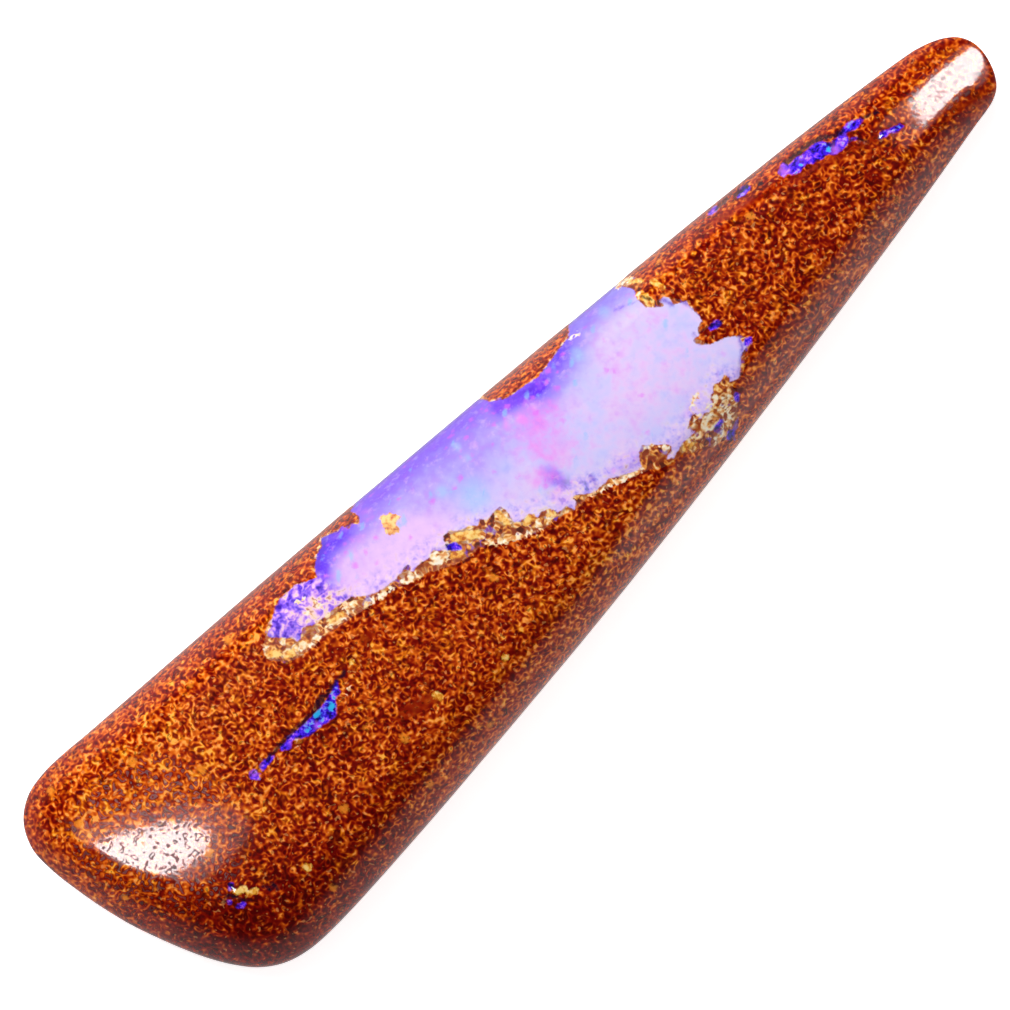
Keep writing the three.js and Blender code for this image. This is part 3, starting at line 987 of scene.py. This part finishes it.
    # -- put together
    # the seam's edges are more uneven on the side of the stone than the face shows
    strayed = g.times(wander, g.scaled(g.ramp01(edge_in, 0.25, -0.15), 2.4))
    in_rim = g.ramp01(g.sum(rim, g.scaled(ragged, 1.0), g.scaled(wander, 0.3), strayed), -0.035, 0.035)
    in_opal = g.ramp01(g.sum(opal, g.scaled(ragged, 0.7), strayed), -0.03, 0.03)
    colour = g.mix(in_rim, rock, crumb)
    colour = g.mix(in_opal, colour, body)
    broken = g.scaled(worm, 0.05)
    cream = g.ramp01(g.sum(g.field("m_cream"), g.scaled(ragged, 1.3), broken), -0.02, 0.07)
    cream_colour = g.colours(
        g.sum(g.noise(at, 7.0, 1.0), g.scaled(speck, 0.6)),
        [(0.30, linear(228, 144, 66)), (0.46, linear(255, 220, 162)), (0.62, linear(255, 244, 222))],
    )
    colour = g.mix(g.times(cream, 0.9), colour, cream_colour)
    gold = g.ramp01(g.sum(g.field("m_gold"), g.scaled(ragged, 1.2)), -0.02, 0.05)
    gold_colour = g.colours(
        g.sum(g.noise(at, 6.5, 2.0), g.scaled(speck, 0.4)),
        [(0.30, linear(200, 98, 18)), (0.45, linear(242, 168, 50)), (0.62, linear(255, 214, 120))],
    )
    colour = g.mix(g.times(gold, 0.9), colour, gold_colour)
    in_vein = g.ramp01(g.sum(g.field("m_vein"), g.scaled(ragged, 0.6)), -0.045, 0.035)
    colour = g.mix(in_vein, colour, vein)
    dark = g.ramp01(g.sum(g.field("m_dark"), g.scaled(ragged, 1.0)), -0.03, 0.06)
    colour = g.mix(g.times(dark, 0.85), colour, linear(22, 10, 30))

    # -- polish
    back = g.field("m_back")
    pores = g.ramp01(g.sum(worm, g.scaled(speck, 1.5)), -0.62, -0.90)
    pitted = g.scaled(g.ramp01(g.field("m_pits"), 0.15, 0.6), 0.94, 0.06)
    dull = g.times(pores, g.times(pitted, g.scaled(in_opal, -0.9, 1.0)))
    loose = g.times(in_rim, g.scaled(in_opal, -1.0, 1.0))
    sheen = g.sum(g.scaled(dull, 0.34, 0.09), g.scaled(back, 0.34), g.scaled(loose, 0.22))
    height = g.math("MULTIPLY", squiggle, g.scaled(in_opal, -0.85, 1.0))
    bump = g.add("ShaderNodeBump")
    bump.inputs["Strength"].default_value = 1.0
    bump.inputs["Distance"].default_value = 0.00000018
    g.put(bump.inputs["Height"], height)

    shader = g.add("ShaderNodeBsdfPrincipled")
    g.put(shader.inputs["Base Color"], colour)
    g.put(shader.inputs["Roughness"], sheen)
    g.put(shader.inputs["Normal"], bump.outputs["Normal"])
    shader.inputs["IOR"].default_value = 1.5
    shader.inputs["Specular IOR Level"].default_value = 0.5
    out = g.add("ShaderNodeOutputMaterial")
    g.tree.links.new(shader.outputs["BSDF"], out.inputs["Surface"])
    return g.material


mesh.materials.append(stone_material())
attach(stone, "root")
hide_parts("boulder_opal")

# ---- floor, light and camera --------------------------------------------------

floor_mesh = bpy.data.meshes.new("floor")
floor_mesh.from_pydata([(-1, -1, 0), (1, -1, 0), (1, 1, 0), (-1, 1, 0)], [], [(0, 1, 2, 3)])
floor = bpy.data.objects.new("floor", floor_mesh)
floor.location = (0, 0, -0.00002)
bpy.context.scene.collection.objects.link(floor)
floor_look = Graph("pale_floor")
floor_shader = floor_look.add("ShaderNodeBsdfPrincipled")
floor_shader.inputs["Base Color"].default_value = (0.93, 0.93, 0.93, 1)
floor_shader.inputs["Roughness"].default_value = 0.8
floor_shader.inputs["Specular IOR Level"].default_value = 0.2
floor_shader.inputs["Emission Color"].default_value = (1, 1, 1, 1)
floor_shader.inputs["Emission Strength"].default_value = 0.78
floor_out = floor_look.add("ShaderNodeOutputMaterial")
floor_look.tree.links.new(floor_shader.outputs["BSDF"], floor_out.inputs["Surface"])
floor_mesh.materials.append(floor_look.material)
floor.visible_glossy = False
floor.visible_shadow = False

scene = bpy.context.scene
world = bpy.data.worlds.new("studio")
world.use_nodes = True
sky_tree = world.node_tree
way = sky_tree.nodes.new("ShaderNodeTexCoord")
split = sky_tree.nodes.new("ShaderNodeSeparateXYZ")
rise = sky_tree.nodes.new("ShaderNodeMapRange")
rise.interpolation_type = "SMOOTHSTEP"
rise.inputs["From Min"].default_value = 0.15
rise.inputs["From Max"].default_value = -0.25
rise.inputs["To Min"].default_value = 0.03
rise.inputs["To Max"].default_value = 0.40
sky_tree.links.new(way.outputs["Generated"], split.inputs[0])
sky_tree.links.new(split.outputs["Z"], rise.inputs["Value"])
sky_tree.links.new(rise.outputs["Result"], sky_tree.nodes["Background"].inputs["Strength"])
sky_tree.nodes["Background"].inputs["Color"].default_value = (1, 1, 1, 1)
scene.world = world


def soft_light(name, where, aim, wide, tall, power, across=(1, 0, 0), shape="RECTANGLE", on=("diffuse", "glossy")):
    """A soft box at a place in metres, its long side along a line, turned to a point."""
    data = bpy.data.lights.new(name, "AREA")
    data.shape = shape
    data.size, data.size_y = wide, tall
    data.energy = power
    light = bpy.data.objects.new(name, data)
    x = Vector(across).normalized()
    z = Vector(where) - Vector(aim)
    z = (z - x * z.dot(x)).normalized()
    turn = Matrix((x, z.cross(x), z)).transposed().to_4x4()
    turn.translation = Vector(where)
    light.matrix_world = turn
    light.visible_camera = False
    light.visible_diffuse = "diffuse" in on
    light.visible_glossy = "glossy" in on
    scene.collection.objects.link(light)
    return light


middle = place([(504.5, 504.5)], 0)[0] / 1000
eye = Vector((middle[0], middle[1], (GIRDLE_Z + CAMERA_FAR) / 1000))


def mirror_of_eye(spot_px):
    """Where light must come from to glint at a spot of the face, and that spot."""
    spot = place([spot_px])[0]
    face = np.arange(first_face_ring * C, keel_at)
    near = face[np.argsort(((xyz[face, :2] - spot) ** 2).sum(1))[:40]]
    n = Vector(normals[near].mean(0)).normalized()
    p = Vector(xyz[near].mean(0) / 1000)
    view = (eye - p).normalized()
    return p, (2 * n.dot(view) * n - view).normalized()


def glint(name, ends, sides, far, bright, grow=1.0):
    """A soft box whose mirror image lies between the given spots of the face."""
    spots = [mirror_of_eye(s) for s in ends + sides]
    start, stop, left, right = (p + r * far for p, r in spots)
    centre = (start + stop) / 2
    wide = (stop - start).length * grow
    tall = (right - left).length * grow
    power = bright * math.pi * math.pi / 4 * wide * tall
    aim = (spots[0][0] + spots[1][0]) / 2
    return soft_light(name, centre, aim, wide, tall, power, stop - start, "ELLIPSE", ("glossy",))


soft_light("key", (0.09, 0.40, 0.50), (0, 0, 0), 0.45, 0.45, 4.7, on=("diffuse",))
soft_light("overhead", (0, 0, 0.62), (0, 0, 0), 0.7, 0.7, 1.25, on=("diffuse",))
BROAD = [(96, 846), (208, 838)], [(148, 817), (154, 866)]
glint("glint_broad_end", *BROAD, 0.3, 21.0)
glint("halo_broad_end", *BROAD, 0.31, 1.4, 1.7)
TIP = [(914, 107), (981, 55)], [(938, 70), (956, 93)]
glint("glint_tip", *TIP, 0.25, 21.0)
glint("halo_tip", *TIP, 0.26, 1.0, 1.5)
# wide, dim boxes low beside the tip, for the soft sheen along its lower shoulder
for level, tall in enumerate((0.088, 0.068, 0.048, 0.030)):
    side = soft_light(
        f"side_{level}", (0.034, -0.05, 0.0), (0.034, 0, 0), 0.058, tall,
        0.20 * math.pi * math.pi / 4 * 0.058 * tall, (1, 0, 0), "ELLIPSE", ("glossy",),
    )
    side.data.spread = math.radians(110)

camera_data = bpy.data.cameras.new("camera")
camera_data.sensor_width = 36
camera_data.lens = 36 * CAMERA_FAR / (1010 * MM_PER_PX)
camera_data.clip_end = 10
camera = bpy.data.objects.new("camera", camera_data)
camera.location = eye
camera.rotation_euler = (0, 0, -TURN)
scene.collection.objects.link(camera)
scene.camera = camera

scene.cycles.max_bounces = 3
scene.cycles.diffuse_bounces = 2
scene.cycles.glossy_bounces = 2
scene.view_settings.view_transform = "Standard"
scene.view_settings.look = "None"
